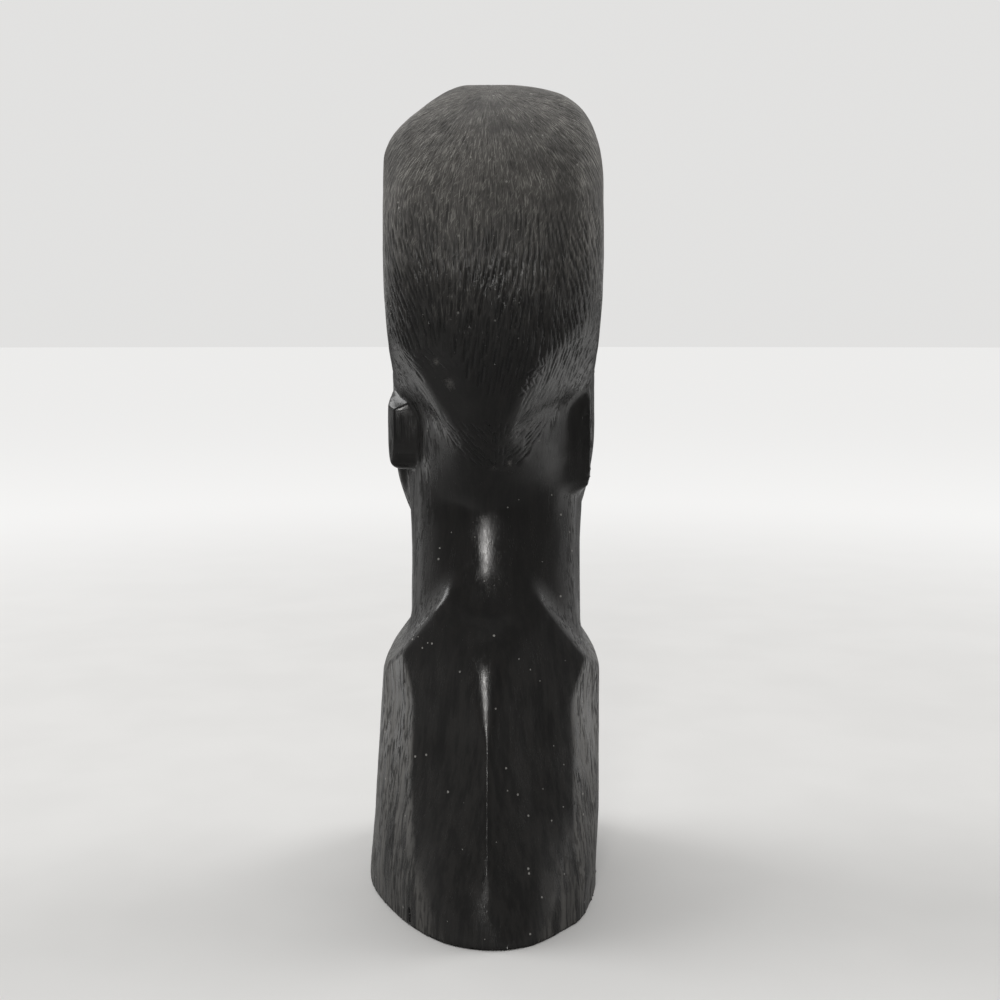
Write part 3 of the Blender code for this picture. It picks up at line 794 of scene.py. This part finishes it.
    # Relief
    relief = n.math("ADD", n.math("MULTIPLY", fibres, 0.30), n.math("MULTIPLY", streaks, 0.30))
    relief = n.math("ADD", relief, n.math("MULTIPLY", grit, 0.12))
    relief = n.math("SUBTRACT", relief, n.math("MULTIPLY", pores, 0.9))
    lines = n.math("MULTIPLY", n.math("MULTIPLY", strands, hair), n.ramp(height, 190, 235, 0.8, 2.2))
    relief = n.math("ADD", relief, lines)
    scored = n.ramp(n.noise((0.8, 8.0, 1.0), 1.0, 0.5, combed), 0.47, 0.55, 0.0, 1.6)
    scored = n.math("MULTIPLY", scored, n.math("MULTIPLY", hair, n.ramp(height, 186, 200)))
    relief = n.math("ADD", relief, scored)
    n.put(n.bump(relief, 0.6, 0.12 * MM), n.shader.inputs["Normal"])
    return n.material


def floor_material():
    """Pale and plain, fading into the backdrop. To all but the camera it carries painted light: it is painted
    darker behind the carving, painted with the carving's shade on its face side and close to it, and glows
    faintly further out as painted light for the wood to reflect."""
    n = Nodes("pale_floor")
    mottle = n.ramp(n.noise((60, 60, 60), 2.0), 0.3, 0.7)
    pale = n.mix(mottle, FLOOR_PALE, FLOOR_MOTTLED)
    right, back, _ = n.parts(n.place)
    from_middle = n.distance((0, 0, 0))
    # Painted dark reflection: darker behind the carving, seen only in reflections
    beyond = n.ramp(n.math("ADD", back, n.math("MULTIPLY", right, 0.25)), 20, 110)
    beyond = n.math("MULTIPLY", beyond, n.ramp(right, 0, 300, 1.0, 0.84))
    # Painted shade of the carving: on its face side and close to it, seen only in reflections
    aside = n.math("MULTIPLY", n.math("ABSOLUTE", right), 0.8)
    shaded = n.ramp(n.math("ADD", back, aside), -80, 20, 0.75, 0.0)
    shaded = n.math("MAXIMUM", shaded, n.ramp(from_middle, 170, 300, 0.75, 0.0))
    mirrored = n.math("SUBTRACT", 1.0, n.add("ShaderNodeLightPath").outputs["Is Camera Ray"])
    painted_dark_in_reflections = n.math("MULTIPLY", n.math("MAXIMUM", beyond, shaded), mirrored)
    far = n.ramp(from_middle, 260, 1200)
    n.put(n.mix(n.math("MAXIMUM", far, painted_dark_in_reflections), pale, FLOOR_DARK), n.shader.inputs["Base Color"])
    n.shader.inputs["Emission Color"].default_value = BACKDROP
    glow = n.math("MULTIPLY", far, n.math("SUBTRACT", BACKDROP_STRENGTH, painted_dark_in_reflections))
    # Painted glow further out, seen only in reflections, for the wood to reflect
    near = n.math("MULTIPLY", n.ramp(from_middle, 120, 300), n.math("SUBTRACT", mirrored, painted_dark_in_reflections))
    near = n.math("MULTIPLY", near, n.ramp(from_middle, 700, 950, 0.4, 0.0))
    n.put(n.math("ADD", n.math("MAXIMUM", glow, 0.0), near), n.shader.inputs["Emission Strength"])
    n.shader.inputs["Roughness"].default_value = 0.8
    n.shader.inputs["Specular IOR Level"].default_value = 0.0
    return n.material


# --- Stage ----------------------------------------------------------------------------------------


def make_floor():
    """A wide round floor at the level of the underside."""
    turns = np.linspace(0, 2 * math.pi, 96, endpoint=False)
    rim = [(FLOOR_RADIUS * math.cos(a), FLOOR_RADIUS * math.sin(a), 0) for a in turns]
    mesh = bpy.data.meshes.new("floor")
    mesh.from_pydata(rim, [], [range(len(rim))])
    mesh.materials.append(floor_material())
    floor = bpy.data.objects.new("floor", mesh)
    bpy.context.scene.collection.objects.link(floor)


def add_light(name, place, aim, energy, size, colour=(1, 1, 1)):
    """A square soft light."""
    data = bpy.data.lights.new(name, "AREA")
    data.energy = energy
    data.size = size
    data.color = colour
    light = bpy.data.objects.new(name, data)
    light.location = place
    light.rotation_euler = (Vector(aim) - Vector(place)).to_track_quat("-Z", "Y").to_euler()
    bpy.context.scene.collection.objects.link(light)


def light_scene():
    """A small key from behind the camera and a little to its left, two high cards aimed at the floor beside
    the carving, and a soft top light. To all but the camera, the world is darker on the camera's side."""
    add_light("key", (0.20, 1.45, 0.51), (0, 0, 0.14), 3.9, 0.17, (1.0, 0.985, 0.96))
    add_light("card_left", (1.1, -0.25, 1.25), (0.5, -0.1, 0), 9.0, 0.8)
    add_light("card_right", (-1.1, -0.5, 1.25), (-0.5, -0.1, 0), 7.0, 0.8)
    add_light("top", (0.1, -0.2, 1.7), (0, 0, 0.1), 5.0, 0.7)
    world = bpy.data.worlds.new("studio")
    world.use_nodes = True
    bpy.context.scene.world = world
    tree = world.node_tree
    back = tree.nodes["Background"]
    where = tree.nodes.new("ShaderNodeTexCoord")
    split = tree.nodes.new("ShaderNodeSeparateXYZ")
    tree.links.new(where.outputs["Generated"], split.inputs["Vector"])
    shade = tree.nodes.new("ShaderNodeMapRange")
    shade.interpolation_type = "SMOOTHSTEP"
    shade.inputs["From Min"].default_value = -0.4
    shade.inputs["From Max"].default_value = 0.6
    shade.inputs["To Min"].default_value = 0.78
    shade.inputs["To Max"].default_value = 0.12
    tree.links.new(split.outputs["Y"], shade.inputs["Value"])
    path = tree.nodes.new("ShaderNodeLightPath")
    choose = tree.nodes.new("ShaderNodeMix")
    tree.links.new(path.outputs["Is Camera Ray"], choose.inputs[0])
    tree.links.new(shade.outputs["Result"], choose.inputs[2])
    choose.inputs[3].default_value = BACKDROP_STRENGTH
    tree.links.new(choose.outputs[0], back.inputs["Strength"])
    back.inputs["Color"].default_value = BACKDROP
    bpy.context.scene.view_settings.view_transform = "Standard"


def make_camera(box):
    """Behind the head, a little above its middle, looking slightly down."""
    data = bpy.data.cameras.new("camera")
    data.sensor_width = 36
    data.lens = CAMERA_LENS
    data.clip_start = 0.01
    camera = bpy.data.objects.new("camera", data)
    camera.location = (CAMERA_X, box[1][1] + CAMERA_BEHIND, CAMERA_Z)
    camera.rotation_euler = (math.radians(90 - CAMERA_PITCH), 0, math.pi)
    bpy.context.scene.collection.objects.link(camera)
    bpy.context.scene.camera = camera


def main():
    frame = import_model()
    cad_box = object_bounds()
    make_camera(cad_box)
    carving = carve(frame["nodes"][NODE])
    carving.data.materials.clear()
    carving.data.materials.append(ebony())
    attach(carving, "root")
    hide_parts(NODE)
    make_floor()
    light_scene()


main()
